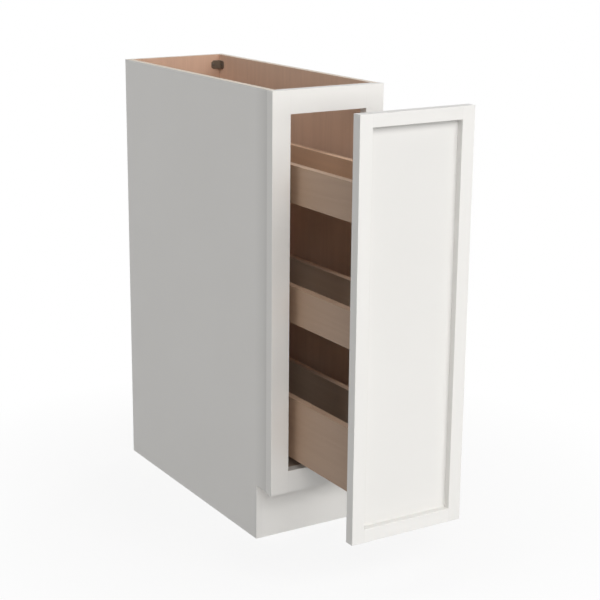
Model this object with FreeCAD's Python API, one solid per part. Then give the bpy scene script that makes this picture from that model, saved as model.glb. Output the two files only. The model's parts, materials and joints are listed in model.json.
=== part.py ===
import FreeCAD, Part
import os

# Slim base cabinet with a pull-out spice rack: a plywood carcass behind a face frame, three
# trays between two uprights, a framed door on the front upright, and two ball-bearing runners.
# Millimetres. X is across, Y runs back to the wall at Y = 0, Z is up from the floor at Z = 0.
# The rack is drawn pulled out by REST_OPENING.

# Carcass
CABINET_WIDTH = 238.0
CABINET_DEPTH = 609.6
CABINET_HEIGHT = 876.3
PANEL = 12.7
DADO_DEPTH = 6.35
TOE_HEIGHT = 111.1
TOE_DEPTH = 60.3
CLEAT = 19.0

# Face frame
FRAME_THICKNESS = 19.05
STILE_WIDTH = 38.1
STILE_OVERHANG = 3.2
STILE_GROOVE = 6.35
TOP_RAIL = 43.5
BOTTOM_RAIL = 43.5
FRAME_TENON_LENGTH = 15.0
FRAME_TENON_THICKNESS = 6.35
TENON_SHOULDER = 6.0

# Corner braces under the worktop
BRACE_LEG = 20.0
BRACE_HEIGHT = 18.0
BRACE_DROP = 12.3
BRACE_FLANGE = 2.5
BRACE_CHAMFER = 4.0
BRACE_SCREW_EDGE = 4.0
BRACE_HEAD_ROOM = 0.8
WORKTOP_HOLE_RADIUS = 1.6

# Door
DOOR_THICKNESS = 19.05
DOOR_FRAME_WIDTH = 25.4
DOOR_TOP_RAIL_WIDTH = 22.9
DOOR_RECESS = 12.7
DOOR_RABBET = 9.5
DOOR_SIDE_REVEAL = 2.4
DOOR_TOP_REVEAL = 8.0
DOOR_BOTTOM_REVEAL = 6.0
DOOR_TENON_LENGTH = 10.0
DOOR_TENON_THICKNESS = 6.0
DOOR_TENON_SHOULDER = 4.0
CLOSED_GAP = 2.0
BUMPER_RADIUS = 4.0
BUMPER_CLEARANCE = 0.3
BUMPER_END_DISTANCE = 32.0

# Trays and uprights
TRAY_SIDE_CLEARANCE = 15.0
TRAY_BOARD = 15.0
TRAY_BOTTOM = 6.35
TRAY_GROOVE = 5.0
TRAY_BOTTOM_RISE = 6.0
LOW_TRAY_HEIGHT = 120.0
TRAY_HEIGHT = 70.0
TOP_TRAY_CLEARANCE = 95.2
UPPER_BAY_EXTRA = 9.5
PULLOUT_REAR_CLEARANCE = 63.2

# Runners: three nested steel channels on rows of balls
RUNNER_SHEET = 1.2
RUNNER_SETBACK = 6.0
RUNNER_END_GAP = 12.7
RUNNER_PAIR_GAP = 3.4
RUNNER_TRAY_GAP = 8.1
DRAWER_RAIL_HALF = 8.0
BALL_RADIUS = 2.0
BALL_CLEARANCE = 0.2
WEB_GAP = 1.2
RACE_LIP = 1.4
CAGE_LENGTH = 180.0
CAGE_SHEET = 0.8
CAGE_HALF_HEIGHT = 3.0
CAGE_HOLE_CLEARANCE = 0.15
BALLS_PER_ROW = 7
STOP_LENGTH = 5.7
STOP_CLEARANCE = 0.3
STOP_TAIL = 2.0

# Screws
SCREW_SHANK_RADIUS = 1.6
SCREW_HEAD_RADIUS = 3.2
SCREW_POINT = 2.0
PAN_HEAD_HEIGHT = 1.8
PAN_HEAD_ROUND = 0.6
SCREW_FIT = 0.1
RECESS_LENGTH = 3.6
RECESS_WIDTH = 0.8
RECESS_DEPTH = 1.1
TRAY_SCREW_LENGTH = 32.0
TRAY_SCREW_EDGE = 18.0
RAIL_SCREW_LENGTH = 10.0
RAIL_SCREW_COVER = 1.55
RAIL_SCREW_END = 40.0
BRACE_SCREW_LENGTH = 11.0
DOOR_SCREW_COVER = 1.55
DOOR_SCREW_INSET = 32.0

# Fits and eased edges
GLUE_GAP = 0.1
EDGE_ROUND = 0.8
TRAY_ROUND = 0.8
CUT_OVERRUN = 1.0

# Pulled-out distance at rest, from shut, and each moving stage's share of it
REST_OPENING = 250.0
LOWER_CAGE_SHARE = 0.25
MIDDLE_RAIL_SHARE = 0.5
UPPER_CAGE_SHARE = 0.75
RACK_SHARE = 1.0

# Places worked out from the sizes above
half_width = CABINET_WIDTH / 2
front = -CABINET_DEPTH
frame_back = front + FRAME_THICKNESS
side_outer = half_width - STILE_OVERHANG
side_inner = side_outer - PANEL
back_inner = -PANEL
toe_front = front + TOE_DEPTH
opening_half = half_width - STILE_WIDTH
opening_bottom = TOE_HEIGHT + BOTTOM_RAIL
opening_top = CABINET_HEIGHT - TOP_RAIL
deck_top = opening_bottom
deck_under = deck_top - PANEL
rail_spans = {
    "top": (opening_top, CABINET_HEIGHT),
    "bottom": (TOE_HEIGHT, opening_bottom),
}
brace_foot = CABINET_HEIGHT - BRACE_DROP - BRACE_HEIGHT
brace_screw_reach = BRACE_LEG - BRACE_SCREW_EDGE
brace_gusset = brace_screw_reach - SCREW_HEAD_RADIUS - BRACE_HEAD_ROOM
worktop_hole_inset = brace_gusset / 3

# Runner section: u is measured across from a runner's centre line, v up from the carcass floor
ball_gap = 2 * (BALL_RADIUS + BALL_CLEARANCE)
middle_half = DRAWER_RAIL_HALF + ball_gap + RUNNER_SHEET
cabinet_half = middle_half + ball_gap + RUNNER_SHEET
lip_offset = ball_gap / 2 - RACE_LIP
race_rise = (BALL_RADIUS**2 - lip_offset**2) ** 0.5 + BALL_CLEARANCE
middle_web = RUNNER_SHEET + WEB_GAP
lower_ball_u = middle_half + ball_gap / 2
lower_ball_v = middle_web + RUNNER_SHEET + race_rise
cabinet_lip = lower_ball_v + race_rise
drawer_lip = middle_web + RUNNER_SHEET + WEB_GAP
upper_ball_u = DRAWER_RAIL_HALF + ball_gap / 2
upper_ball_v = drawer_lip + RUNNER_SHEET + race_rise
middle_lip = upper_ball_v + race_rise
tray_floor_clearance = middle_lip + RUNNER_SHEET + RUNNER_TRAY_GAP
runner_height = tray_floor_clearance + TRAY_BOTTOM_RISE

# Shut position of the moving pieces, before they are pulled out
door_back = front - CLOSED_GAP
door_front = door_back - DOOR_THICKNESS
door_half = half_width - DOOR_SIDE_REVEAL
door_inner_half = door_half - DOOR_FRAME_WIDTH
door_foot = TOE_HEIGHT + DOOR_BOTTOM_REVEAL
door_head = CABINET_HEIGHT - DOOR_TOP_REVEAL
door_inner_foot = door_foot + DOOR_FRAME_WIDTH
door_inner_head = door_head - DOOR_TOP_RAIL_WIDTH
door_panel_front = door_front + DOOR_RECESS
door_rail_spans = {
    "top": (door_inner_head, door_head),
    "bottom": (door_foot, door_inner_foot),
}
door_screw_length = TRAY_BOARD + DOOR_THICKNESS - DOOR_RECESS - DOOR_SCREW_COVER
tray_half = opening_half - TRAY_SIDE_CLEARANCE
tray_inner = tray_half - TRAY_BOARD
tray_front = door_back + TRAY_BOARD
pullout_back = back_inner - PULLOUT_REAR_CLEARANCE
tray_back = pullout_back - TRAY_BOARD
low_tray_foot = deck_top + tray_floor_clearance
low_tray_head = low_tray_foot + LOW_TRAY_HEIGHT
top_tray_foot = opening_top - TOP_TRAY_CLEARANCE - TRAY_HEIGHT
lower_bay = (top_tray_foot - low_tray_head - TRAY_HEIGHT - UPPER_BAY_EXTRA) / 2
middle_tray_foot = low_tray_head + lower_bay
tray_levels = {
    "bottom": (low_tray_foot, LOW_TRAY_HEIGHT),
    "middle": (middle_tray_foot, TRAY_HEIGHT),
    "top": (top_tray_foot, TRAY_HEIGHT),
}
upright_foot = low_tray_foot + TRAY_BOTTOM_RISE
upright_head = top_tray_foot + TRAY_HEIGHT

# Runners along Y, shut
runner_centre = RUNNER_PAIR_GAP / 2 + cabinet_half
runner_front = front + RUNNER_SETBACK
drawer_rail_back = tray_back - RUNNER_END_GAP
rail_length = drawer_rail_back - runner_front
cabinet_rail_back = drawer_rail_back + STOP_CLEARANCE + STOP_LENGTH + STOP_TAIL
drawer_screw_length = RUNNER_SHEET + TRAY_BOTTOM - RAIL_SCREW_COVER

# The rack travels one rail length; each ball cage is centred on its rails' overlap at full reach
travel = rail_length
stage_travel = travel * MIDDLE_RAIL_SHARE
stage_overlap = rail_length - stage_travel
cage_middle = runner_front + stage_overlap / 2 + stage_travel / 2
cage_front = cage_middle - CAGE_LENGTH / 2
ball_pitch = CAGE_LENGTH / BALLS_PER_ROW

X = FreeCAD.Vector(1, 0, 0)
Y = FreeCAD.Vector(0, 1, 0)
Z = FreeCAD.Vector(0, 0, 1)


def block(x_span, y_span, z_span):
    x_span, y_span, z_span = sorted(x_span), sorted(y_span), sorted(z_span)
    corner = FreeCAD.Vector(x_span[0], y_span[0], z_span[0])
    return Part.makeBox(
        x_span[1] - x_span[0], y_span[1] - y_span[0], z_span[1] - z_span[0], corner
    )


def extruded(points, sweep):
    face = Part.Face(Part.makePolygon(points + points[:1]))
    return face.extrude(sweep)


def eased(shape, start, end, inward_a, inward_b, radius):
    """Rounds the straight edge from start to end; the two directions point into the material."""
    tangent_a = start + inward_a * radius
    tangent_b = start + inward_b * radius
    bulge = start + (inward_a + inward_b) * (radius * (1 - 0.5**0.5))
    corner = start - (inward_a + inward_b) * CUT_OVERRUN
    edges = [
        Part.LineSegment(corner, tangent_a - inward_b * CUT_OVERRUN).toShape(),
        Part.LineSegment(tangent_a - inward_b * CUT_OVERRUN, tangent_a).toShape(),
        Part.Arc(tangent_a, bulge, tangent_b).toShape(),
        Part.LineSegment(tangent_b, tangent_b - inward_a * CUT_OVERRUN).toShape(),
        Part.LineSegment(tangent_b - inward_a * CUT_OVERRUN, corner).toShape(),
    ]
    tool = Part.Face(Part.Wire(edges)).extrude(end - start)
    return shape.cut(tool)


def turned_profile(points):
    """A solid of revolution about Z from (radius, height) points."""
    ring = [FreeCAD.Vector(radius, 0, height) for radius, height in points]
    face = Part.Face(Part.makePolygon(ring + ring[:1]))
    return face.revolve(FreeCAD.Vector(0, 0, 0), Z, 360)


def aimed(shape, place, direction):
    """Puts a screw made pointing down -Z at a place, pointing along a direction."""
    moved = shape.copy()
    moved.Placement = FreeCAD.Placement(place, FreeCAD.Rotation(-Z, direction))
    return moved


def cross_recess(top):
    arms = [
        block((-a, a), (-b, b), (top - RECESS_DEPTH, top + CUT_OVERRUN))
        for a, b in (
            (RECESS_LENGTH / 2, RECESS_WIDTH / 2),
            (RECESS_WIDTH / 2, RECESS_LENGTH / 2),
        )
    ]
    return arms[0].fuse(arms[1])


def flat_screw(length):
    cone = SCREW_HEAD_RADIUS - SCREW_SHANK_RADIUS
    body = turned_profile(
        [
            (0, 0),
            (SCREW_HEAD_RADIUS, 0),
            (SCREW_SHANK_RADIUS, -cone),
            (SCREW_SHANK_RADIUS, SCREW_POINT - length),
            (0, -length),
        ]
    )
    return body.cut(cross_recess(0))


def flat_screw_hole(length):
    radius = SCREW_SHANK_RADIUS + SCREW_FIT
    head = SCREW_HEAD_RADIUS + SCREW_FIT
    return turned_profile(
        [
            (0, CUT_OVERRUN),
            (head, CUT_OVERRUN),
            (head, 0),
            (radius, radius - head),
            (radius, -length - SCREW_FIT),
            (0, -length - SCREW_FIT),
        ]
    )


def pan_screw(length):
    body = turned_profile(
        [
            (0, PAN_HEAD_HEIGHT),
            (SCREW_HEAD_RADIUS - PAN_HEAD_ROUND, PAN_HEAD_HEIGHT),
            (SCREW_HEAD_RADIUS, PAN_HEAD_HEIGHT - PAN_HEAD_ROUND),
            (SCREW_HEAD_RADIUS, 0),
            (SCREW_SHANK_RADIUS, 0),
            (SCREW_SHANK_RADIUS, SCREW_POINT - length),
            (0, -length),
        ]
    )
    return body.cut(cross_recess(PAN_HEAD_HEIGHT))


def pan_screw_hole(length):
    radius = SCREW_SHANK_RADIUS + SCREW_FIT
    depth = length + SCREW_FIT
    return Part.makeCylinder(
        radius, depth + CUT_OVERRUN, FreeCAD.Vector(0, 0, -depth)
    )


def drilled(shape, hole, seats):
    """Cuts one screw hole at each (place, direction) seat."""
    return shape.cut([aimed(hole, place, direction) for place, direction in seats])


def group(screw, seats):
    return Part.makeCompound(
        [aimed(screw, place, direction) for place, direction in seats]
    )


# Screw seats, shared by the screws and the holes that they go through


def brace_corners():
    """Each inner top corner: name, corner point and the two wall directions into the carcass."""
    corners = []
    for side, side_name in ((-1, "left"), (1, "right")):
        for wall, into, end_name in (
            (frame_back, Y, "front"),
            (back_inner, -Y, "back"),
        ):
            corner = FreeCAD.Vector(side * side_inner, wall, brace_foot)
            corners.append((f"{end_name}_{side_name}", corner, X * -side, into))
    return corners


def brace_screw_seats():
    seats = []
    for _, corner, across, into in brace_corners():
        middle = corner + Z * (BRACE_HEIGHT / 2)
        end_seat = middle + across * brace_screw_reach + into * BRACE_FLANGE
        side_seat = middle + into * brace_screw_reach + across * BRACE_FLANGE
        seats += [(end_seat, -into), (side_seat, -across)]
    return seats


def rail_screw_rows():
    middle = (runner_front + drawer_rail_back) / 2
    return runner_front + RAIL_SCREW_END, middle, drawer_rail_back - RAIL_SCREW_END


def cabinet_rail_seats():
    height = deck_top + RUNNER_SHEET
    return [
        (FreeCAD.Vector(side * runner_centre, row, height), -Z)
        for side in (-1, 1)
        for row in rail_screw_rows()
    ]


def drawer_rail_seats():
    height = upright_foot - RUNNER_SHEET
    return [
        (FreeCAD.Vector(side * runner_centre, row, height), Z)
        for side in (-1, 1)
        for row in rail_screw_rows()
    ]


def tray_screw_seats(end_face, direction):
    """Seats on the outer face of one upright, two into the end of each tray side."""
    across = tray_half - TRAY_BOARD / 2
    seats = []
    for foot, height in tray_levels.values():
        for side in (-1, 1):
            for level in (foot + TRAY_SCREW_EDGE, foot + height - TRAY_SCREW_EDGE):
                place = FreeCAD.Vector(side * across, end_face, level)
                seats.append((place, direction))
    return seats


def door_screw_seats():
    """Seats on the back of the front upright, in the low tray and in the two open bays."""
    levels = (
        low_tray_foot + LOW_TRAY_HEIGHT / 2,
        low_tray_head + lower_bay / 2,
        (middle_tray_foot + TRAY_HEIGHT + top_tray_foot) / 2,
    )
    return [
        (FreeCAD.Vector(across, tray_front, level), -Y)
        for level in levels
        for across in (DOOR_SCREW_INSET - tray_half, tray_half - DOOR_SCREW_INSET)
    ]


# Carcass


def side_panel(side):
    panel_front = frame_back - STILE_GROOVE
    outline = [
        FreeCAD.Vector(side * side_inner, y, z)
        for y, z in (
            (toe_front, 0),
            (0, 0),
            (0, CABINET_HEIGHT),
            (panel_front, CABINET_HEIGHT),
            (panel_front, TOE_HEIGHT),
            (toe_front, TOE_HEIGHT),
        )
    ]
    panel = extruded(outline, X * (side * PANEL))
    cut_depth = (
        side * (side_inner - CUT_OVERRUN),
        side * (side_inner + DADO_DEPTH),
    )
    rabbet = block(
        cut_depth,
        (back_inner, CUT_OVERRUN),
        (-CUT_OVERRUN, CABINET_HEIGHT + CUT_OVERRUN),
    )
    dado = block(cut_depth, (frame_back, back_inner), (deck_under, deck_top))
    panel = panel.cut([rabbet, dado])
    return drilled(panel, pan_screw_hole(BRACE_SCREW_LENGTH), brace_screw_seats())


def back_panel():
    reach = side_inner + DADO_DEPTH
    panel = block((-reach, reach), (back_inner, 0), (0, CABINET_HEIGHT))
    return drilled(panel, pan_screw_hole(BRACE_SCREW_LENGTH), brace_screw_seats())


def bottom_panel():
    reach = side_inner + DADO_DEPTH
    panel = block((-reach, reach), (frame_back, back_inner), (deck_under, deck_top))
    return drilled(panel, flat_screw_hole(RAIL_SCREW_LENGTH), cabinet_rail_seats())


def toe_kick_board():
    return block(
        (-side_inner, side_inner), (toe_front, toe_front + PANEL), (0, deck_under)
    )


def toe_kick_cleat(side):
    behind = toe_front + PANEL
    return block(
        (side * side_inner, side * (side_inner - CLEAT)),
        (behind, behind + CLEAT),
        (0, deck_under),
    )


# Face frame


def frame_tenon(inner_end, outer_end, z_low, z_high, fit):
    middle = front + FRAME_THICKNESS / 2
    half = FRAME_TENON_THICKNESS / 2 - fit
    return block(
        (inner_end, outer_end),
        (middle - half, middle + half),
        (z_low + TENON_SHOULDER + fit, z_high - TENON_SHOULDER - fit),
    )


def frame_stile(side):
    stile = block(
        (side * opening_half, side * half_width),
        (front, frame_back),
        (TOE_HEIGHT, CABINET_HEIGHT),
    )
    groove = block(
        (side * side_inner, side * side_outer),
        (frame_back - STILE_GROOVE, frame_back + CUT_OVERRUN),
        (TOE_HEIGHT - CUT_OVERRUN, CABINET_HEIGHT + CUT_OVERRUN),
    )
    stile = stile.cut(groove)
    for z_low, z_high in rail_spans.values():
        mortise = frame_tenon(
            side * (opening_half - CUT_OVERRUN),
            side * (opening_half + FRAME_TENON_LENGTH),
            z_low,
            z_high,
            0,
        )
        stile = stile.cut(mortise)
    outer_foot = FreeCAD.Vector(side * half_width, front, TOE_HEIGHT)
    outer_head = FreeCAD.Vector(side * half_width, front, CABINET_HEIGHT)
    stile = eased(stile, outer_foot, outer_head, X * -side, Y, EDGE_ROUND)
    inner_foot = FreeCAD.Vector(side * opening_half, front, opening_bottom)
    inner_head = FreeCAD.Vector(side * opening_half, front, opening_top)
    stile = eased(stile, inner_foot, inner_head, X * side, Y, EDGE_ROUND)
    return drilled(stile, pan_screw_hole(BRACE_SCREW_LENGTH), brace_screw_seats())


def frame_rail(name):
    z_low, z_high = rail_spans[name]
    rail = block((-opening_half, opening_half), (front, frame_back), (z_low, z_high))
    for side in (-1, 1):
        tenon = frame_tenon(
            side * opening_half,
            side * (opening_half + FRAME_TENON_LENGTH - GLUE_GAP),
            z_low,
            z_high,
            GLUE_GAP,
        )
        rail = rail.fuse(tenon)
    opening_edge, inward = (z_low, Z) if name == "top" else (z_high, -Z)
    left = FreeCAD.Vector(-opening_half, front, opening_edge)
    right = FreeCAD.Vector(opening_half, front, opening_edge)
    rail = eased(rail, left, right, Y, inward, EDGE_ROUND)
    return drilled(rail, pan_screw_hole(BRACE_SCREW_LENGTH), brace_screw_seats())


# Corner braces


def brace_flange(corner, along, off):
    """One leg against a wall, with its free corners cut off."""
    outline = [
        corner + along * reach + Z * height
        for reach, height in (
            (0, 0),
            (BRACE_LEG - BRACE_CHAMFER, 0),
            (BRACE_LEG, BRACE_CHAMFER),
            (BRACE_LEG, BRACE_HEIGHT - BRACE_CHAMFER),
            (BRACE_LEG - BRACE_CHAMFER, BRACE_HEIGHT),
            (0, BRACE_HEIGHT),
        )
    ]
    return extruded(outline, off * BRACE_FLANGE)


def corner_brace(corner, across, into):
    gusset = extruded(
        [corner, corner + across * brace_gusset, corner + into * brace_gusset],
        Z * BRACE_HEIGHT,
    )
    brace = gusset.fuse(
        [brace_flange(corner, across, into), brace_flange(corner, into, across)]
    )
    hole_foot = corner + (across + into) * worktop_hole_inset - Z * CUT_OVERRUN
    hole = Part.makeCylinder(
        WORKTOP_HOLE_RADIUS, BRACE_HEIGHT + 2 * CUT_OVERRUN, hole_foot
    )
    brace = brace.removeSplitter().cut(hole)
    return drilled(brace, pan_screw_hole(BRACE_SCREW_LENGTH), brace_screw_seats())


# Door


def door_tenon(inner_end, outer_end, z_low, z_high, fit):
    middle = door_front + DOOR_RECESS / 2
    half = DOOR_TENON_THICKNESS / 2 - fit
    return block(
        (inner_end, outer_end),
        (middle - half, middle + half),
        (z_low + DOOR_TENON_SHOULDER + fit, z_high - DOOR_TENON_SHOULDER - fit),
    )


def door_stile(side):
    stile = block(
        (side * door_inner_half, side * door_half),
        (door_front, door_back),
        (door_foot, door_head),
    )
    rabbet = block(
        (side * (door_inner_half - CUT_OVERRUN), side * (door_inner_half + DOOR_RABBET)),
        (door_panel_front, door_back + CUT_OVERRUN),
        (door_inner_foot - DOOR_RABBET, door_inner_head + DOOR_RABBET),
    )
    mortises = [
        door_tenon(
            side * (door_inner_half - CUT_OVERRUN),
            side * (door_inner_half + DOOR_TENON_LENGTH),
            z_low,
            z_high,
            0,
        )
        for z_low, z_high in door_rail_spans.values()
    ]
    stile = stile.cut([rabbet] + mortises)
    inner, outer = side * door_inner_half, side * door_half
    for start, end, inward in (
        ((outer, door_foot), (outer, door_head), X * -side),
        ((inner, door_foot), (outer, door_foot), Z),
        ((inner, door_head), (outer, door_head), -Z),
        ((inner, door_inner_foot), (inner, door_inner_head), X * side),
    ):
        first = FreeCAD.Vector(start[0], door_front, start[1])
        last = FreeCAD.Vector(end[0], door_front, end[1])
        stile = eased(stile, first, last, Y, inward, EDGE_ROUND)
    return stile


def door_rail(name):
    z_low, z_high = door_rail_spans[name]
    outer, inner, outward = (
        (z_high, z_low, Z) if name == "top" else (z_low, z_high, -Z)
    )
    rail = block(
        (-door_inner_half, door_inner_half), (door_front, door_back), (z_low, z_high)
    )
    rabbet_edge = inner + outward.z * DOOR_RABBET
    rabbet = block(
        (-door_inner_half - CUT_OVERRUN, door_inner_half + CUT_OVERRUN),
        (door_panel_front, door_back + CUT_OVERRUN),
        (inner - outward.z * CUT_OVERRUN, rabbet_edge),
    )
    rail = rail.cut(rabbet)
    for side in (-1, 1):
        tenon = door_tenon(
            side * door_inner_half,
            side * (door_inner_half + DOOR_TENON_LENGTH - GLUE_GAP),
            z_low,
            z_high,
            GLUE_GAP,
        )
        rail = rail.fuse(tenon)
    for level, inward in ((outer, -outward), (inner, outward)):
        left = FreeCAD.Vector(-door_inner_half, door_front, level)
        right = FreeCAD.Vector(door_inner_half, door_front, level)
        rail = eased(rail, left, right, Y, inward, EDGE_ROUND)
    return rail


def door_panel():
    lap = DOOR_RABBET - GLUE_GAP
    panel = block(
        (-door_inner_half - lap, door_inner_half + lap),
        (door_panel_front, door_back),
        (door_inner_foot - lap, door_inner_head + lap),
    )
    return drilled(panel, pan_screw_hole(door_screw_length), door_screw_seats())


def door_bumpers():
    height = CLOSED_GAP - BUMPER_CLEARANCE
    across = door_half - DOOR_FRAME_WIDTH / 2
    levels = (door_foot + BUMPER_END_DISTANCE, door_head - BUMPER_END_DISTANCE)
    return Part.makeCompound(
        [
            Part.makeCylinder(
                BUMPER_RADIUS, height, FreeCAD.Vector(side * across, door_back, level), Y
            )
            for side in (-1, 1)
            for level in levels
        ]
    )


# Trays and uprights


def tray_side(side, foot, height):
    board = block(
        (side * tray_inner, side * tray_half), (tray_front, tray_back), (foot, foot + height)
    )
    groove_foot = foot + TRAY_BOTTOM_RISE
    groove = block(
        (side * (tray_inner - CUT_OVERRUN), side * (tray_inner + TRAY_GROOVE)),
        (tray_front - CUT_OVERRUN, tray_back + CUT_OVERRUN),
        (groove_foot, groove_foot + TRAY_BOTTOM),
    )
    board = board.cut(groove)
    for across, inward in ((tray_inner, X * side), (tray_half, X * -side)):
        near = FreeCAD.Vector(side * across, tray_front, foot + height)
        far = FreeCAD.Vector(side * across, tray_back, foot + height)
        board = eased(board, near, far, inward, -Z, TRAY_ROUND)
    hole = flat_screw_hole(TRAY_SCREW_LENGTH)
    board = drilled(board, hole, tray_screw_seats(door_back, Y))
    return drilled(board, hole, tray_screw_seats(pullout_back, -Y))


def tray_bottom(foot):
    reach = tray_inner + TRAY_GROOVE - GLUE_GAP
    level = foot + TRAY_BOTTOM_RISE
    board = block((-reach, reach), (tray_front, tray_back), (level, level + TRAY_BOTTOM))
    hole = pan_screw_hole(drawer_screw_length)
    return drilled(board, hole, drawer_rail_seats())


def upright(y_span):
    board = block((-tray_half, tray_half), y_span, (upright_foot, upright_head))
    near, far = sorted(y_span)
    for depth, inward in ((near, Y), (far, -Y)):
        left = FreeCAD.Vector(-tray_half, depth, upright_head)
        right = FreeCAD.Vector(tray_half, depth, upright_head)
        board = eased(board, left, right, inward, -Z, TRAY_ROUND)
    return board


def front_upright():
    board = upright((door_back, tray_front))
    hole = flat_screw_hole(TRAY_SCREW_LENGTH)
    board = drilled(board, hole, tray_screw_seats(door_back, Y))
    return drilled(board, pan_screw_hole(door_screw_length), door_screw_seats())


def rear_upright():
    board = upright((tray_back, pullout_back))
    hole = flat_screw_hole(TRAY_SCREW_LENGTH)
    return drilled(board, hole, tray_screw_seats(pullout_back, -Y))


def tray_screws():
    screw = flat_screw(TRAY_SCREW_LENGTH)
    return Part.makeCompound(
        [
            group(screw, tray_screw_seats(door_back, Y)),
            group(screw, tray_screw_seats(pullout_back, -Y)),
        ]
    )


# Runners


def channel(side, half, foot, head, y_span, web_on_top, lips):
    """A steel channel along Y: a web, two flanges and lips at ((edge u, lip u, v), ...)."""
    centre = side * runner_centre
    web_foot = head - RUNNER_SHEET if web_on_top else foot

    def bar(u_span, v_low, v_high):
        return block(
            (centre + u_span[0], centre + u_span[1]),
            y_span,
            (deck_top + v_low, deck_top + v_high),
        )

    pieces = [bar((-half, half), web_foot, web_foot + RUNNER_SHEET)]
    for hand in (-1, 1):
        pieces.append(bar((hand * (half - RUNNER_SHEET), hand * half), foot, head))
        for edge, tip, level in lips:
            pieces.append(bar((hand * edge, hand * tip), level, level + RUNNER_SHEET))
    return pieces[0].fuse(pieces[1:]).removeSplitter()


def cabinet_rail(side):
    inner = cabinet_half - RUNNER_SHEET
    rail = channel(
        side,
        cabinet_half,
        0,
        cabinet_lip + RUNNER_SHEET,
        (runner_front, cabinet_rail_back),
        False,
        [(inner, inner - RACE_LIP, cabinet_lip)],
    )
    return drilled(rail, flat_screw_hole(RAIL_SCREW_LENGTH), cabinet_rail_seats())


def middle_rail(side):
    inner = middle_half - RUNNER_SHEET
    return channel(
        side,
        middle_half,
        middle_web,
        middle_lip + RUNNER_SHEET,
        (runner_front, drawer_rail_back),
        False,
        [
            (middle_half, middle_half + RACE_LIP, middle_web),
            (inner, inner - RACE_LIP, middle_lip),
        ],
    )


def drawer_rail(side):
    rail = channel(
        side,
        DRAWER_RAIL_HALF,
        drawer_lip,
        runner_height,
        (runner_front, drawer_rail_back),
        True,
        [(DRAWER_RAIL_HALF, DRAWER_RAIL_HALF + RACE_LIP, drawer_lip)],
    )
    hole = pan_screw_hole(drawer_screw_length)
    return drilled(rail, hole, drawer_rail_seats())


def runner_stop(side):
    centre = side * runner_centre
    reach = middle_half - RUNNER_SHEET
    start = drawer_rail_back + STOP_CLEARANCE
    return block(
        (centre - reach, centre + reach),
        (start, start + STOP_LENGTH),
        (deck_top + RUNNER_SHEET, deck_top + cabinet_lip),
    )


def ball_places(side, ball_u, ball_v):
    return [
        FreeCAD.Vector(
            side * runner_centre + hand * ball_u,
            cage_front + ball_pitch * (row + 0.5),
            deck_top + ball_v,
        )
        for hand in (-1, 1)
        for row in range(BALLS_PER_ROW)
    ]


def balls(side, ball_u, ball_v):
    return Part.makeCompound(
        [Part.makeSphere(BALL_RADIUS, place) for place in ball_places(side, ball_u, ball_v)]
    )


def ball_cages(side, ball_u, ball_v):
    half_sheet = CAGE_SHEET / 2
    hole_radius = BALL_RADIUS + CAGE_HOLE_CLEARANCE
    level = deck_top + ball_v
    strips = []
    for hand in (-1, 1):
        centre = side * runner_centre + hand * ball_u
        strip = block(
            (centre - half_sheet, centre + half_sheet),
            (cage_front, cage_front + CAGE_LENGTH),
            (level - CAGE_HALF_HEIGHT, level + CAGE_HALF_HEIGHT),
        )
        holes = [
            Part.makeCylinder(hole_radius, 2 * CUT_OVERRUN, place - X * CUT_OVERRUN, X)
            for place in ball_places(side, ball_u, ball_v)
            if abs(place.x - centre) < CUT_OVERRUN
        ]
        strips.append(strip.cut(holes))
    return Part.makeCompound(strips)


# Assembly


def carcass_nodes():
    nodes = {
        "back_panel": back_panel(),
        "bottom_panel": bottom_panel(),
        "toe_kick_board": toe_kick_board(),
        "frame_top_rail": frame_rail("top"),
        "frame_bottom_rail": frame_rail("bottom"),
        "brace_screws": group(pan_screw(BRACE_SCREW_LENGTH), brace_screw_seats()),
        "cabinet_rail_screws": group(
            flat_screw(RAIL_SCREW_LENGTH), cabinet_rail_seats()
        ),
    }
    for side, name in ((-1, "left"), (1, "right")):
        nodes[f"side_panel_{name}"] = side_panel(side)
        nodes[f"toe_kick_cleat_{name}"] = toe_kick_cleat(side)
        nodes[f"frame_stile_{name}"] = frame_stile(side)
        nodes[f"cabinet_rail_{name}"] = cabinet_rail(side)
        nodes[f"runner_stop_{name}"] = runner_stop(side)
    for name, corner, across, into in brace_corners():
        nodes[f"corner_brace_{name}"] = corner_brace(corner, across, into)
    return nodes


def runner_stage_nodes():
    """Nodes of the moving runner stages, each with its share of the rack's travel."""
    stages = []
    for side, name in ((-1, "left"), (1, "right")):
        lower = (side, lower_ball_u, lower_ball_v)
        upper = (side, upper_ball_u, upper_ball_v)
        stages += [
            (f"lower_ball_cages_{name}", ball_cages(*lower), LOWER_CAGE_SHARE),
            (f"lower_balls_{name}", balls(*lower), LOWER_CAGE_SHARE),
            (f"middle_rail_{name}", middle_rail(side), MIDDLE_RAIL_SHARE),
            (f"upper_ball_cages_{name}", ball_cages(*upper), UPPER_CAGE_SHARE),
            (f"upper_balls_{name}", balls(*upper), UPPER_CAGE_SHARE),
        ]
    return stages


def rack_nodes():
    rail_screw = pan_screw(drawer_screw_length)
    nodes = {
        "door_top_rail": door_rail("top"),
        "door_bottom_rail": door_rail("bottom"),
        "door_panel": door_panel(),
        "door_bumpers": door_bumpers(),
        "door_screws": group(pan_screw(door_screw_length), door_screw_seats()),
        "front_upright": front_upright(),
        "rear_upright": rear_upright(),
        "tray_screws": tray_screws(),
        "drawer_rail_screws": group(rail_screw, drawer_rail_seats()),
    }
    for side, name in ((-1, "left"), (1, "right")):
        nodes[f"door_stile_{name}"] = door_stile(side)
        nodes[f"drawer_rail_{name}"] = drawer_rail(side)
    for level, (foot, height) in tray_levels.items():
        nodes[f"{level}_tray_bottom"] = tray_bottom(foot)
        nodes[f"{level}_tray_side_left"] = tray_side(-1, foot, height)
        nodes[f"{level}_tray_side_right"] = tray_side(1, foot, height)
    return nodes


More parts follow.
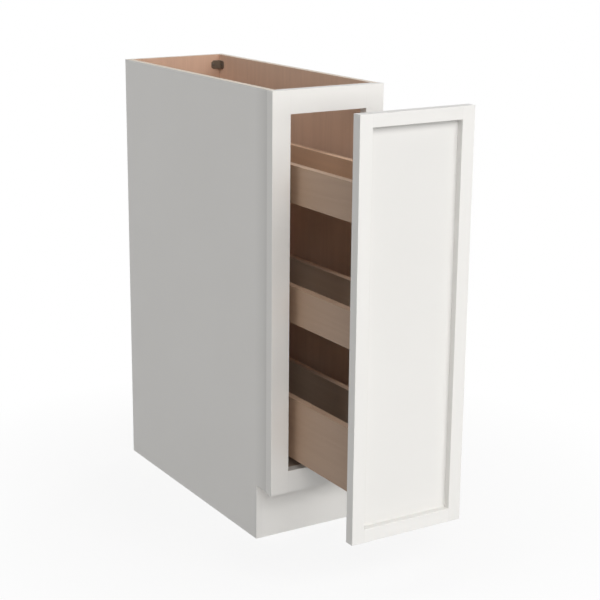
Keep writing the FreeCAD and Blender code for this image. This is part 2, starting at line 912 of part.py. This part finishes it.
def pulled_out(shape, share):
    moved = shape.copy()
    moved.translate(Y * (-share * REST_OPENING))
    return moved


def main():
    os.makedirs("parts", exist_ok=True)
    nodes = carcass_nodes()
    for name, shape, share in runner_stage_nodes():
        nodes[name] = pulled_out(shape, share)
    for name, shape in rack_nodes().items():
        nodes[name] = pulled_out(shape, RACK_SHARE)
    for name, shape in nodes.items():
        shape.exportStep(f"parts/{name}.step")
    print(f"{len(nodes)} nodes, travel {travel:.1f} mm, pulled out {REST_OPENING:.1f} mm")


main()
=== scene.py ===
import json
from functools import cached_property
from math import pi, radians

import bmesh
import bpy
from mathutils import Matrix, Vector


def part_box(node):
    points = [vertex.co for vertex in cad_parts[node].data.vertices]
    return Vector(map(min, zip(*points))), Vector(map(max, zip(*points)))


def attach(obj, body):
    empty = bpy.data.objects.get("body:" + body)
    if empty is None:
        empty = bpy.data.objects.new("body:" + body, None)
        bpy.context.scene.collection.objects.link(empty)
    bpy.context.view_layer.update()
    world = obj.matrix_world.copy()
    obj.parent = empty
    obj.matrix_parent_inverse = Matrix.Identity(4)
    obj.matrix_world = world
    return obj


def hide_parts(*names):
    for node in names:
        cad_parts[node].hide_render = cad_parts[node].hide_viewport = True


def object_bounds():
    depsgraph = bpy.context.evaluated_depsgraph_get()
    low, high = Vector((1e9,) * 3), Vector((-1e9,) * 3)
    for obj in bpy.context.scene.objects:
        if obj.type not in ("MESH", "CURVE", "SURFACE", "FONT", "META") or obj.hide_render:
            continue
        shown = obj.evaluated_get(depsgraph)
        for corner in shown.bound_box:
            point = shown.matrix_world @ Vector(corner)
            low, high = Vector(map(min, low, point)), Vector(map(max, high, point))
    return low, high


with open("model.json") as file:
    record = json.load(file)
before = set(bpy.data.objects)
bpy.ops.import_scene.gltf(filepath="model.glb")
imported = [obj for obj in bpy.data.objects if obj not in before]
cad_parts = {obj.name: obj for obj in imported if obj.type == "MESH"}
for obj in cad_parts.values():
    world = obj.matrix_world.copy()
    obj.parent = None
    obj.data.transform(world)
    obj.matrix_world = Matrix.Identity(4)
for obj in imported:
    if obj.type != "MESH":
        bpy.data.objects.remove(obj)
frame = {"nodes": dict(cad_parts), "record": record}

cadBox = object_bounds()
nodes = frame["nodes"]
scene = bpy.context.scene
axisIndex = {"X": 0, "Y": 1, "Z": 2}
noiseMiddle = 0.5
pureWhite = (1, 1, 1, 1)
print("frame loaded:", len(nodes), "nodes")


class Wire:
    # a shader socket: arithmetic on it adds Math nodes
    def __init__(self, graph, socket):
        self.graph = graph
        self.socket = socket

    def maths(self, operation, first, second=0.0, clamp=False):
        settings = {"operation": operation, "use_clamp": clamp}
        return self.graph.add("ShaderNodeMath", settings, {0: first, 1: second})

    def __add__(self, other):
        return self.maths("ADD", self, other)

    def __sub__(self, other):
        return self.maths("SUBTRACT", self, other)

    def __rsub__(self, other):
        return self.maths("SUBTRACT", other, self)

    def __mul__(self, other):
        return self.maths("MULTIPLY", self, other)

    def __truediv__(self, other):
        return self.maths("DIVIDE", self, other)

    def __rtruediv__(self, other):
        return self.maths("DIVIDE", other, self)

    def __gt__(self, other):
        return self.maths("GREATER_THAN", self, other)

    def __lt__(self, other):
        return self.maths("LESS_THAN", self, other)

    def __abs__(self):
        return self.maths("ABSOLUTE", self)

    __radd__ = __add__
    __rmul__ = __mul__

    def least(self, other):
        return self.maths("MINIMUM", self, other)

    def most(self, other):
        return self.maths("MAXIMUM", self, other)

    def wave(self):
        return self.maths("SINE", self)

    def root(self):
        return self.maths("SQRT", self)

    def held(self):
        # kept between 0 and 1
        return self.maths("ADD", self, 0.0, clamp=True)

    def siblings(self):
        # every output of the socket's node, by name
        return {socket.name: Wire(self.graph, socket) for socket in self.socket.node.outputs}


class Graph:
    # the nodes of one material or world
    def __init__(self, owner):
        owner.use_nodes = True
        self.tree = owner.node_tree
        self.tree.nodes.clear()

    def add(self, kind, settings=None, sockets=None, output=0):
        node = self.tree.nodes.new(kind)
        for name, value in (settings or {}).items():
            setattr(node, name, value)
        for name, value in (sockets or {}).items():
            if isinstance(value, Wire):
                self.tree.links.new(value.socket, node.inputs[name])
            else:
                node.inputs[name].default_value = value
        return Wire(self, node.outputs[output]) if node.outputs else None

    @cached_property
    def place(self):
        return self.add("ShaderNodeTexCoord", output="Object")

    @cached_property
    def axes(self):
        return list(self.add("ShaderNodeSeparateXYZ", sockets={0: self.place}).siblings().values())

    def along(self, axis):
        return self.axes[axisIndex[axis]]

    def stretched(self, scale, shift):
        sockets = {"Vector": self.place, "Scale": scale, "Location": shift}
        return self.add("ShaderNodeMapping", {"vector_type": "POINT"}, sockets)

    def noise(self, vector, scale, detail=2.0, distortion=0.0):
        sockets = {"Vector": vector, "Scale": scale, "Detail": detail, "Distortion": distortion}
        return self.add("ShaderNodeTexNoise", {"noise_dimensions": "3D"}, sockets)

    def grain(self, axis, acrossScale, alongScale, shift, detail=2.0, distortion=0.0):
        # noise drawn out along one axis
        scale = tuple(alongScale if name == axis else acrossScale for name in axisIndex)
        return self.noise(self.stretched(scale, shift), 1.0, detail, distortion)

    def blend(self, share, first, second):
        settings = {"data_type": "RGBA", "blend_type": "MIX"}
        return self.add("ShaderNodeMix", settings, {0: share, 6: first, 7: second}, output=2)

    def bump(self, height, strength, depth):
        sockets = {"Height": height, "Strength": strength, "Distance": depth}
        return self.add("ShaderNodeBump", sockets=sockets)

    def seen(self):
        # 1 for rays that show the background, 0 for rays that light the object
        rays = self.add("ShaderNodeLightPath").siblings()
        return (rays["Is Camera Ray"] + rays["Is Glossy Ray"] + rays["Is Transmission Ray"]).held()

    def surface(self, sockets):
        shader = self.add("ShaderNodeBsdfPrincipled", sockets=sockets)
        self.add("ShaderNodeOutputMaterial", sockets={"Surface": shader})


def newFinish(name):
    material = bpy.data.materials.new(name)
    return material, Graph(material)


def dress(node, material):
    data = nodes[node].data
    data.materials.clear()
    data.materials.append(material)


def within(gap, reach):
    # 1 where a gap is closed, 0 from one reach on
    return (1 - gap / reach).held()


def edgeShare(graph, node, reach):
    # 1 on the outer edges of a node's box, 0 one reach away from them
    gaps = []
    for along, low, high in zip(graph.axes, *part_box(node)):
        gaps.append((along - low).least(high - along))
    a, b, c = gaps
    second = a.least(b).most(a.most(b).least(c))  # near an edge two of the gaps are small
    return within(second, reach)


def peaks(value, start, contrast, strength):
    return ((value - start) * contrast).held() * strength


def drifted(seed, drift):
    # boards with seeds of their own don't share a pattern
    return tuple(seed * step for step in drift)


def dimmed(tone, share):
    return tuple(value * share for value in tone[:3]) + (1,)


# white satin paint

paint = {
    "tone": (0.865, 0.851, 0.822, 1),
    "shade": (0.842, 0.828, 0.798, 1),
    "edge": (0.790, 0.765, 0.715, 1),
    "edgeReach": 0.0012,
    "edgeStrength": 0.30,
    "seedStep": 1.7,
    "drift": (1, 2, 3),
    "cloudScale": 5.0,
    "cloudDetail": 3.0,
    "peelScale": 650.0,
    "peelHeight": 0.6,
    "grainAcross": 420.0,
    "grainAlong": 12.0,
    "grainDetail": 3.0,
    "grainHeight": 0.4,
    "roughness": 0.36,
    "roughnessSpread": 0.10,
    "bump": 0.10,
    "bumpDepth": 0.0002,
    "hairline": (0.50, 0.48, 0.45, 1),
    "hairlineReach": 0.0004,
    "hairlineStrength": 0.22,
}
# rails and the stiles that they butt against
railStiles = {
    "frame_top_rail": "frame_stile_right",
    "frame_bottom_rail": "frame_stile_right",
    "door_top_rail": "door_stile_right",
    "door_bottom_rail": "door_stile_right",
}
# the side of the door's recess on each door board: its axis, and the low or high end of the board's box
recessSides = {
    "door_stile_left": ("X", 1),
    "door_stile_right": ("X", 0),
    "door_top_rail": ("Z", 0),
    "door_bottom_rail": ("Z", 1),
}
# painted shade in the recess: on its sides, and on the panel within each reach of a rail
recess = {
    "tone": (0, 0, 0, 1),
    "slack": 0.00015,
    "sideShade": 0.05,
    "headShades": {0.004: 0.20, 0.016: 0.16, 0.45: 0.04},
    "footShades": {0.020: 0.05},
}


def paintLook(graph, node, axis, seed, share=1.0):
    p = paint
    shift = drifted(seed, p["drift"])
    cloud = graph.noise(graph.stretched((1, 1, 1), shift), p["cloudScale"], p["cloudDetail"])
    peel = graph.noise(graph.place, p["peelScale"])
    grain = graph.grain(axis, p["grainAcross"], p["grainAlong"], shift, p["grainDetail"])
    worn = edgeShare(graph, node, p["edgeReach"]) * peel * p["edgeStrength"]
    colour = graph.blend(cloud, dimmed(p["tone"], share), dimmed(p["shade"], share))
    return {
        "colour": graph.blend(worn, colour, dimmed(p["edge"], share)),
        "roughness": p["roughness"] + (cloud - noiseMiddle) * p["roughnessSpread"],
        "height": peel * p["peelHeight"] + grain * p["grainHeight"],
    }


def jointLine(graph, node):
    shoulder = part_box(railStiles[node])[0].x
    gap = abs(abs(graph.along("X")) - shoulder)
    return within(gap, paint["hairlineReach"]) * paint["hairlineStrength"]


# painted shade on the sides of the recess
def sideShade(graph, node):
    axis, end = recessSides[node]
    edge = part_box(node)[end][axisIndex[axis]]
    return (abs(graph.along(axis) - edge) < recess["slack"]) * recess["sideShade"]


# painted shade on the panel, under the top rail and over the bottom rail, darker towards the top
def panelShade(graph):
    height = graph.along("Z")
    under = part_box("door_top_rail")[0].z - height
    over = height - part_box("door_bottom_rail")[1].z
    shade = 0
    for gap, shades in ((under, recess["headShades"]), (over, recess["footShades"])):
        for reach, strength in shades.items():
            shade = shade + within(gap, reach) * strength
    onFront = graph.along("Y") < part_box("door_panel")[0].y + recess["slack"]
    return shade * onFront


def satinPaint(node, axis, seed, share):
    material, graph = newFinish("satinPaint." + node)
    look = paintLook(graph, node, axis, seed, share)
    colour = look["colour"]
    if node in railStiles:
        colour = graph.blend(jointLine(graph, node), colour, paint["hairline"])
    # painted shade in the door's recess
    if node in recessSides:
        colour = graph.blend(sideShade(graph, node), colour, recess["tone"])
    if node == "door_panel":
        colour = graph.blend(panelShade(graph), colour, recess["tone"])
    graph.surface({
        "Base Color": colour,
        "Roughness": look["roughness"],
        "Normal": graph.bump(look["height"], paint["bump"], paint["bumpDepth"]),
    })
    dress(node, material)


# natural maple-faced plywood

palePlies = {
    "ply": (0.880, 0.800, 0.680, 1),
    "plyDark": (0.740, 0.620, 0.490, 1),
}
# the tone sets are lit and shaded copies of one maple: each is brighter or darker, redder or paler, by how
# much light falls on the boards that use it, as painted light and shade
woodTones = {
    "leftSide": {
        "light": (0.720, 0.585, 0.490, 1),
        "dark": (0.630, 0.505, 0.420, 1),
        "line": (0.490, 0.365, 0.285, 1),
        **palePlies,
    },
    "carcass": {
        "light": (0.800, 0.560, 0.418, 1),
        "dark": (0.696, 0.480, 0.355, 1),
        "line": (0.490, 0.345, 0.255, 1),
        **palePlies,
    },
    "back": {
        "light": (0.600, 0.382, 0.272, 1),
        "dark": (0.524, 0.332, 0.234, 1),
        "line": (0.400, 0.265, 0.190, 1),
        **palePlies,
    },
    "deck": {
        "light": (0.430, 0.330, 0.260, 1),
        "dark": (0.370, 0.280, 0.218, 1),
        "line": (0.290, 0.210, 0.160, 1),
        "ply": (0.740, 0.620, 0.500, 1),
        "plyDark": (0.600, 0.480, 0.370, 1),
    },
    "trayInner": {
        "light": (0.500, 0.393, 0.308, 1),
        "dark": (0.436, 0.338, 0.262, 1),
        "line": (0.340, 0.255, 0.195, 1),
        "ply": (0.680, 0.500, 0.385, 1),
        "plyDark": (0.560, 0.400, 0.300, 1),
    },
    "tray": {
        "light": (0.512, 0.350, 0.243, 1),
        "dark": (0.444, 0.297, 0.204, 1),
        "line": (0.350, 0.235, 0.160, 1),
        "ply": (0.760, 0.540, 0.390, 1),
        "plyDark": (0.630, 0.435, 0.305, 1),
    },
}
maple = {
    "seedStep": 2.3,
    "drift": (1, 3, 2),
    "rings": 34.0,
    "ringWander": 7.5,
    "ringShare": 0.25,
    "wanderAcross": 13.0,
    "wanderAlong": 1.1,
    "figureAcross": 30.0,
    "figureAlong": 2.0,
    "figureDetail": 4.0,
    "figureDistortion": 0.8,
    "figureShare": 0.75,
    "figureHeight": 0.2,
    "fibreAcross": 520.0,
    "fibreAlong": 9.0,
    "fibreDetail": 3.0,
    "fibreStart": 0.58,
    "fibreContrast": 4,
    "fibreStrength": 0.27,
    "fibreHeight": 0.8,
    "fleckAcross": 330.0,
    "fleckAlong": 70.0,
    "fleckStart": 0.64,
    "fleckContrast": 7,
    "fleckStrength": 0.5,
    "fleckGain": 1.10,
    "plyThickness": 0.00145,
    "plySkin": 0.0004,
    "plyTurn": 0.7,
    "plyFibre": 0.3,
    "glueTone": (0.24, 0.16, 0.11, 1),
    "glueContrast": 4,
    "glueStrength": 0.45,
    "roughness": 0.46,
    "roughnessSpread": 0.14,
    "bump": 0.12,
    "bumpDepth": 0.0002,
}


def boardTones(kind, share=1.0):
    tones = {part: dimmed(tone, share) for part, tone in woodTones[kind].items()}
    tones["fleck"] = dimmed(tones["light"], maple["fleckGain"])
    return tones


def mapleFace(graph, axis, thick, shift, fibre, tones):
    m = maple
    wander = graph.grain(axis, m["wanderAcross"], m["wanderAlong"], shift)
    figure = graph.grain(
        axis, m["figureAcross"], m["figureAlong"], shift, m["figureDetail"], m["figureDistortion"])
    fleck = graph.grain(axis, m["fleckAcross"], m["fleckAlong"], shift)
    # growth rings lie across the grain and wander along it
    side = next(name for name in axisIndex if name not in (axis, thick))
    turns = graph.along(side) * m["rings"] + wander * m["ringWander"]
    ring = (turns * (2 * pi)).wave() * 0.5 + 0.5
    darker = (ring * m["ringShare"] + figure * m["figureShare"]).held()
    lined = peaks(fibre, m["fibreStart"], m["fibreContrast"], m["fibreStrength"])
    flecked = peaks(fleck, m["fleckStart"], m["fleckContrast"], m["fleckStrength"])
    face = graph.blend(darker, tones["light"], tones["dark"])
    face = graph.blend(lined, face, tones["line"])
    return graph.blend(flecked, face, tones["fleck"]), figure


def mapleEdge(graph, depth, thickness, fibre, tones):
    # cut plies lie light and dark in turn, with glue between them
    m = maple
    plies = 2 * round(thickness / m["plyThickness"] / 2) + 1
    layer = (depth * (plies * pi / thickness)).wave()
    turned = (layer > 0) * m["plyTurn"] + fibre * m["plyFibre"]
    glue = (1 - abs(layer) * m["glueContrast"]).held() * m["glueStrength"]
    return graph.blend(glue, graph.blend(turned, tones["ply"], tones["plyDark"]), m["glueTone"])


def mapleLook(graph, node, axis, thick, seed, tones):
    m = maple
    shift = drifted(seed, m["drift"])
    fibre = graph.grain(axis, m["fibreAcross"], m["fibreAlong"], shift, m["fibreDetail"])
    face, figure = mapleFace(graph, axis, thick, shift, fibre, tones)
    low, high = (corner[axisIndex[thick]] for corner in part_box(node))
    depth = graph.along(thick) - low
    inside = depth.least((high - low) - depth)
    cut = ((inside - m["plySkin"]) / m["plySkin"]).held()
    return {
        "colour": graph.blend(cut, face, mapleEdge(graph, depth, high - low, fibre, tones)),
        "roughness": m["roughness"] + (fibre - noiseMiddle) * m["roughnessSpread"],
        "height": fibre * m["fibreHeight"] + figure * m["figureHeight"],
    }


def naturalBoard(node, axis, thick, seed, tones, outerTones=None):
    material, graph = newFinish("mapleBoard." + node)
    if outerTones:
        # the board's high side gets tones of its own, as its painted light and shade differ from those of
        # its low side
        low, high = (corner[axisIndex[thick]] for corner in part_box(node))
        beyond = graph.along(thick) > (low + high) / 2
        tones = {part: graph.blend(beyond, tone, outerTones[part]) for part, tone in tones.items()}
    look = mapleLook(graph, node, axis, thick, seed, tones)
    graph.surface({
        "Base Color": look["colour"],
        "Roughness": look["roughness"],
        "Normal": graph.bump(look["height"], maple["bump"], maple["bumpDepth"]),
    })
    dress(node, material)


# side panels: painted outside, and on the front edge in the toe recess

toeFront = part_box("toe_kick_board")[0].y
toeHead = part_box("frame_bottom_rail")[0].z
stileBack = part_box("frame_stile_left")[1].y
facedSide = {
    "grainAxis": "Z",
    "thickAxis": "X",
    "outerSlack": 0.00005,
    "toeSlack": 0.0002,
    # painted shade in the corner behind the stile
    "cornerShadeTone": (0.20, 0.19, 0.18, 1),
    "cornerShadeReach": 0.048,
    "cornerShadeStrength": 0.17,
    "cornerLineShadeReach": 0.004,
    "cornerLineShadeStrength": 0.05,
}


def facedBoard(node, seed, tones):
    s = facedSide
    material, graph = newFinish("facedBoard." + node)
    wood = mapleLook(graph, node, s["grainAxis"], s["thickAxis"], seed, tones)
    coat = paintLook(graph, node, s["grainAxis"], seed)
    x, y, z = graph.axes
    # painted shade: the paint is greyer in the corner behind the stile, where the stile stands proud
    behind = y - stileBack
    cornerShade = within(behind, s["cornerShadeReach"]) * s["cornerShadeStrength"]
    cornerShade = cornerShade + within(behind, s["cornerLineShadeReach"]) * s["cornerLineShadeStrength"]
    coatColour = graph.blend(cornerShade, coat["colour"], s["cornerShadeTone"])
    outer = max(abs(corner.x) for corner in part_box(node))
    outside = abs(x) > outer - s["outerSlack"]
    toeEdge = (y < toeFront + s["toeSlack"]) * (z < toeHead)
    painted = outside.most(toeEdge)
    height = wood["height"] * (1 - painted) + coat["height"] * painted
    graph.surface({
        "Base Color": graph.blend(painted, wood["colour"], coatColour),
        "Roughness": wood["roughness"] * (1 - painted) + coat["roughness"] * painted,
        "Normal": graph.bump(height, maple["bump"], maple["bumpDepth"]),
    })
    dress(node, material)


# grain axis, and the share of the paint's tone; on the door boards the share is painted shade that evens
# out the light, lower on the top rail than on the bottom rail, and the panel's lower share is partly its
# own greyer tone and partly painted shade
paintedBoards = {
    "frame_stile_left": ("Z", 1.0),
    "frame_stile_right": ("Z", 1.0),
    "frame_top_rail": ("X", 1.0),
    "frame_bottom_rail": ("X", 1.0),
    "toe_kick_board": ("X", 1.0),
    "door_stile_left": ("Z", 0.975),
    "door_stile_right": ("Z", 0.975),
    "door_top_rail": ("X", 0.965),
    "door_bottom_rail": ("X", 0.995),
    "door_panel": ("Z", 0.95),
}
for index, (node, (axis, share)) in enumerate(paintedBoards.items()):
    satinPaint(node, axis, paint["seedStep"] * index, share)

# grain axis, thickness axis, tones and the share of them; the shares paint light and shade: a higher share
# stands in for more light on the board, a lower one for shade
woodBoards = {
    "back_panel": ("Z", "Y", "back", 1.0),
    "bottom_panel": ("Y", "Z", "deck", 1.0),
    "toe_kick_cleat_left": ("Z", "X", "carcass", 0.95),
    "toe_kick_cleat_right": ("Z", "X", "carcass", 1.0),
    "front_upright": ("Z", "Y", "trayInner", 1.05),
    "rear_upright": ("Z", "Y", "trayInner", 1.0),
    "bottom_tray_bottom": ("Y", "Z", "trayInner", 1.0),
    "bottom_tray_side_left": ("Y", "X", "tray", 0.95),
    "bottom_tray_side_right": ("Y", "X", "trayInner", 1.0),
    "middle_tray_bottom": ("Y", "Z", "trayInner", 1.1),
    "middle_tray_side_left": ("Y", "X", "tray", 0.93),
    "middle_tray_side_right": ("Y", "X", "trayInner", 1.08),
    "top_tray_bottom": ("Y", "Z", "trayInner", 1.25),
    "top_tray_side_left": ("Y", "X", "tray", 0.97),
    "top_tray_side_right": ("Y", "X", "tray", 1.46),
}
# tones, and the share of them, of the outer face where its painted light and shade differ from those of
# the inner one
outerFaceTones = {
    "back_panel": ("leftSide", 0.90),
    "bottom_tray_side_right": ("tray", 1.06),
    "middle_tray_side_right": ("tray", 1.02),
    "top_tray_side_right": ("tray", 1.10),
}
for index, (node, (axis, thick, kind, share)) in enumerate(woodBoards.items()):
    outer = boardTones(*outerFaceTones[node]) if node in outerFaceTones else None
    naturalBoard(node, axis, thick, maple["seedStep"] * index, boardTones(kind, share), outer)

# tones of the inner face, and the seed
facedBoards = {
    "side_panel_left": ("leftSide", 4.1),
    "side_panel_right": ("carcass", 5.1),
}
for node, (kind, seed) in facedBoards.items():
    facedBoard(node, seed, boardTones(kind))
print("boards finished:", len(paintedBoards) + len(woodBoards) + len(facedBoards))


# metal, plastic and rubber

hardware = {
    "zinc_steel": {
        "tone": (0.66, 0.68, 0.70, 1), "shade": (0.50, 0.52, 0.55, 1), "metallic": 1.0,
        "roughness": 0.30, "spread": 0.22, "scale": (900, 14, 900), "bump": 0.04,
    },
    "screw_steel": {
        "tone": (0.72, 0.66, 0.50, 1), "shade": (0.52, 0.47, 0.36, 1), "metallic": 1.0,
        "roughness": 0.30, "spread": 0.25, "scale": (500, 500, 500), "bump": 0.05,
    },
    "ball_steel": {
        "tone": (0.80, 0.80, 0.81, 1), "shade": (0.66, 0.66, 0.67, 1), "metallic": 1.0,
        "roughness": 0.10, "spread": 0.10, "scale": (800, 800, 800), "bump": 0.02,
    },
    "cage_plastic": {
        "tone": (0.045, 0.047, 0.050, 1), "shade": (0.030, 0.031, 0.033, 1), "metallic": 0.0,
        "roughness": 0.45, "spread": 0.15, "scale": (1200, 1200, 1200), "bump": 0.10,
    },
    "dark_screw_steel": {
        "tone": (0.150, 0.120, 0.095, 1), "shade": (0.105, 0.084, 0.066, 1), "metallic": 0.5,
        "roughness": 0.42, "spread": 0.20, "scale": (500, 500, 500), "bump": 0.06,
    },
    "brace_plastic": {
        "tone": (0.152, 0.108, 0.073, 1), "shade": (0.108, 0.078, 0.052, 1), "metallic": 0.0,
        "roughness": 0.48, "spread": 0.15, "scale": (900, 900, 900), "bump": 0.12,
    },
    "stop_rubber": {
        "tone": (0.030, 0.030, 0.031, 1), "shade": (0.020, 0.020, 0.021, 1), "metallic": 0.0,
        "roughness": 0.80, "spread": 0.15, "scale": (700, 700, 700), "bump": 0.15,
    },
    "bumper_rubber": {
        "tone": (0.66, 0.65, 0.62, 1), "shade": (0.55, 0.54, 0.51, 1), "metallic": 0.0,
        "roughness": 0.40, "spread": 0.15, "scale": (600, 600, 600), "bump": 0.08,
    },
}
hardwareGrain = {
    "detail": 3.0,
    "cloudScale": 60.0,
    "bumpDepth": 0.0002,
}


def hardwareFinish(slot):
    h = hardware[slot]
    material, graph = newFinish(slot)
    grain = graph.noise(graph.stretched(h["scale"], (0, 0, 0)), 1.0, hardwareGrain["detail"])
    cloud = graph.noise(graph.place, hardwareGrain["cloudScale"])
    graph.surface({
        "Base Color": graph.blend((grain + cloud) / 2, h["tone"], h["shade"]),
        "Metallic": h["metallic"],
        "Roughness": h["roughness"] + (grain - noiseMiddle) * h["spread"],
        "Normal": graph.bump(grain, h["bump"], hardwareGrain["bumpDepth"]),
    })
    return material


slotOf = {entry["node"]: entry["material_slot"] for entry in frame["record"]["subparts"]}
finishes = {slot: hardwareFinish(slot) for slot in hardware}
for node, slot in slotOf.items():
    if slot in finishes:
        dress(node, finishes[slot])
print("hardware finished:", len(finishes), "finishes")


# small moulded pieces

def newObject(name, shape, material):
    mesh = bpy.data.meshes.new(name)
    shape.to_mesh(mesh)
    shape.free()
    mesh.materials.append(material)
    made = bpy.data.objects.new(name, mesh)
    scene.collection.objects.link(made)
    return made


def newPiece(name, shape, body, slot, *replaced):
    piece = newObject(name, shape, finishes[slot])
    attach(piece, body)
    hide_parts(*replaced)


bumper = {
    "radius": 0.004,
    "turnSteps": 32,
    "round": 0.0013,
    "roundSteps": 6,
    "slack": 0.0001,
}


def domedBumpers():
    b = bumper
    low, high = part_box("door_bumpers")
    height = high.y - low.y
    upright = Matrix.Rotation(radians(-90), 4, "X")
    shape = bmesh.new()
    for x in (low.x + b["radius"], high.x - b["radius"]):
        for z in (low.z + b["radius"], high.z - b["radius"]):
            seat = Matrix.Translation((x, low.y + height / 2, z)) @ upright
            made = bmesh.ops.create_cone(
                shape, cap_ends=True, segments=b["turnSteps"], radius1=b["radius"], radius2=b["radius"],
                depth=height, matrix=seat)
            crown = {vert for vert in made["verts"] if vert.co.y > high.y - b["slack"]}
            rim = {edge for vert in crown for edge in vert.link_edges if crown.issuperset(edge.verts)}
            bmesh.ops.bevel(
                shape, geom=list(rim), offset=b["round"], offset_type="OFFSET", affect="EDGES",
                segments=b["roundSteps"], profile=0.5, material=-1)
    for face in shape.faces:
        face.smooth = len(face.verts) == 4
    newPiece("domedBumpers", shape, "rack", "bumper_rubber", "door_bumpers")


brace = {
    "merge": 0.00001,
    "flat": radians(1),
    "sharp": radians(35),
    "shortest": 0.0025,
    "round": 0.0007,
    "roundSteps": 3,
}


def mouldedBrace(node):
    # the brace's own shape, with the soft edges of a moulding
    b = brace
    shape = bmesh.new()
    shape.from_mesh(nodes[node].data)
    bmesh.ops.remove_doubles(shape, verts=shape.verts, dist=b["merge"])
    bmesh.ops.dissolve_limit(shape, angle_limit=b["flat"], verts=shape.verts, edges=shape.edges)
    edges = []
    for edge in shape.edges:
        if edge.is_manifold and edge.calc_face_angle() > b["sharp"] and edge.calc_length() > b["shortest"]:
            edges.append(edge)
    bmesh.ops.bevel(
        shape, geom=edges, offset=b["round"], offset_type="OFFSET", affect="EDGES",
        segments=b["roundSteps"], profile=0.5, material=-1, clamp_overlap=True)
    newPiece("moulded_" + node, shape, "carcass", "brace_plastic", node)


braces = [node for node, slot in slotOf.items() if slot == "brace_plastic"]
domedBumpers()
for node in braces:
    mouldedBrace(node)
print("moulded pieces made:", len(braces) + 1)


# floor, light and camera

floorLook = {
    "half": 40.0,
    "tone": (0.95, 0.95, 0.95, 1),
    "bounceTone": (0.60, 0.60, 0.60, 1),
    "clearFrom": 0.30,
    "clearTo": 0.90,
    "whiteNear": 0.85,
}


def paleFloor(centre):
    f = floorLook
    shape = bmesh.new()
    bmesh.ops.create_grid(shape, x_segments=1, y_segments=1, size=f["half"])
    material, graph = newFinish("paleFloor")
    acrossGap = graph.along("X") - centre.x
    alongGap = graph.along("Y") - centre.y
    away = (acrossGap * acrossGap + alongGap * alongGap).root()
    clear = ((away - f["clearFrom"]) / (f["clearTo"] - f["clearFrom"])).held()
    seen = graph.seen()
    bright = seen * (f["whiteNear"] + clear * (1 - f["whiteNear"]))
    bounce = graph.add("ShaderNodeBsdfDiffuse", sockets={"Color": f["bounceTone"]})
    pale = graph.add("ShaderNodeBsdfDiffuse", sockets={"Color": f["tone"]})
    matt = graph.add("ShaderNodeMixShader", sockets={0: seen, 1: bounce, 2: pale})
    glow = graph.add("ShaderNodeEmission", sockets={"Color": pureWhite, "Strength": 1.0})
    both = graph.add("ShaderNodeMixShader", sockets={0: bright, 1: matt, 2: glow})
    graph.add("ShaderNodeOutputMaterial", sockets={"Surface": both})
    floor = newObject("paleFloor", shape, material)


sky = {"level": 0.03}


def studioSky():
    world = bpy.data.worlds.new("studioSky")
    scene.world = world
    graph = Graph(world)
    soft = graph.add("ShaderNodeBackground", sockets={"Color": pureWhite, "Strength": sky["level"]})
    bright = graph.add("ShaderNodeBackground", sockets={"Color": pureWhite, "Strength": 1.0})
    both = graph.add("ShaderNodeMixShader", sockets={0: graph.seen(), 1: soft, 2: bright})
    graph.add("ShaderNodeOutputWorld", sockets={"Surface": both})


# level is what a white surface that faces the panel gets from it
lampDistance = 16.0
lamps = {
    "rightPanel": {"azimuth": 19, "elevation": 32, "size": (4.5, 9.0), "level": 0.322},
    "farRightPanel": {"azimuth": 40, "elevation": 26, "size": (4.0, 4.0), "level": 0.075},
    "leftPanel": {"azimuth": -23, "elevation": 34, "size": (9.0, 9.0), "level": 0.362},
    "lowPanel": {"azimuth": -5, "elevation": 6, "size": (12.0, 2.4), "level": 0.215},
    "sidePanel": {"azimuth": -90, "elevation": 46, "size": (5.0, 5.0), "level": 0.135},
    "bayPanel": {"azimuth": -33, "elevation": 12, "size": (4.0, 4.0), "level": 0.031},
    "rearRightPanel": {"azimuth": 120, "elevation": 10, "size": (6.0, 4.0), "level": 0.37},
    "rearPanel": {"azimuth": 180, "elevation": 12, "size": (6.0, 4.0), "level": 0.25},
}


def softPanel(name, aim):
    settings = lamps[name]
    lamp = bpy.data.lights.new(name, "AREA")
    lamp.shape = "RECTANGLE"
    lamp.size, lamp.size_y = settings["size"]
    lamp.energy = settings["level"] * (pi * lampDistance) ** 2
    panel = bpy.data.objects.new(name, lamp)
    panel.rotation_euler = (radians(90 - settings["elevation"]), 0, radians(settings["azimuth"]))
    back = panel.rotation_euler.to_matrix() @ Vector((0, 0, lampDistance))
    panel.location = aim + back
    scene.collection.objects.link(panel)


photoView = {
    "place": (-1.4508, -2.8383, 1.2072),
    "azimuth": -30.01,
    "elevation": 14.94,
    "focalPixels": 1476.3,
    "centrePixel": (250.6, 290.3),
    "imagePixels": 600,
    "sensor": 36.0,
    "clipEnd": 100,
}


def photoCamera():
    v = photoView
    lens = bpy.data.cameras.new("photoCamera")
    lens.sensor_width = v["sensor"]
    lens.lens = v["sensor"] * v["focalPixels"] / v["imagePixels"]
    half = v["imagePixels"] / 2
    lens.shift_x = (half - v["centrePixel"][0]) / v["imagePixels"]
    lens.shift_y = (v["centrePixel"][1] - half) / v["imagePixels"]
    lens.clip_end = v["clipEnd"]
    camera = bpy.data.objects.new("photoCamera", lens)
    camera.location = v["place"]
    camera.rotation_euler = (radians(90 - v["elevation"]), 0, radians(v["azimuth"]))
    scene.collection.objects.link(camera)
    scene.camera = camera


middle = (Vector(cadBox[0]) + Vector(cadBox[1])) / 2
paleFloor(middle)
studioSky()
for name in lamps:
    softPanel(name, middle)
photoCamera()
scene.view_settings.view_transform = "Standard"
print("stage ready:", len(lamps), "lamps")
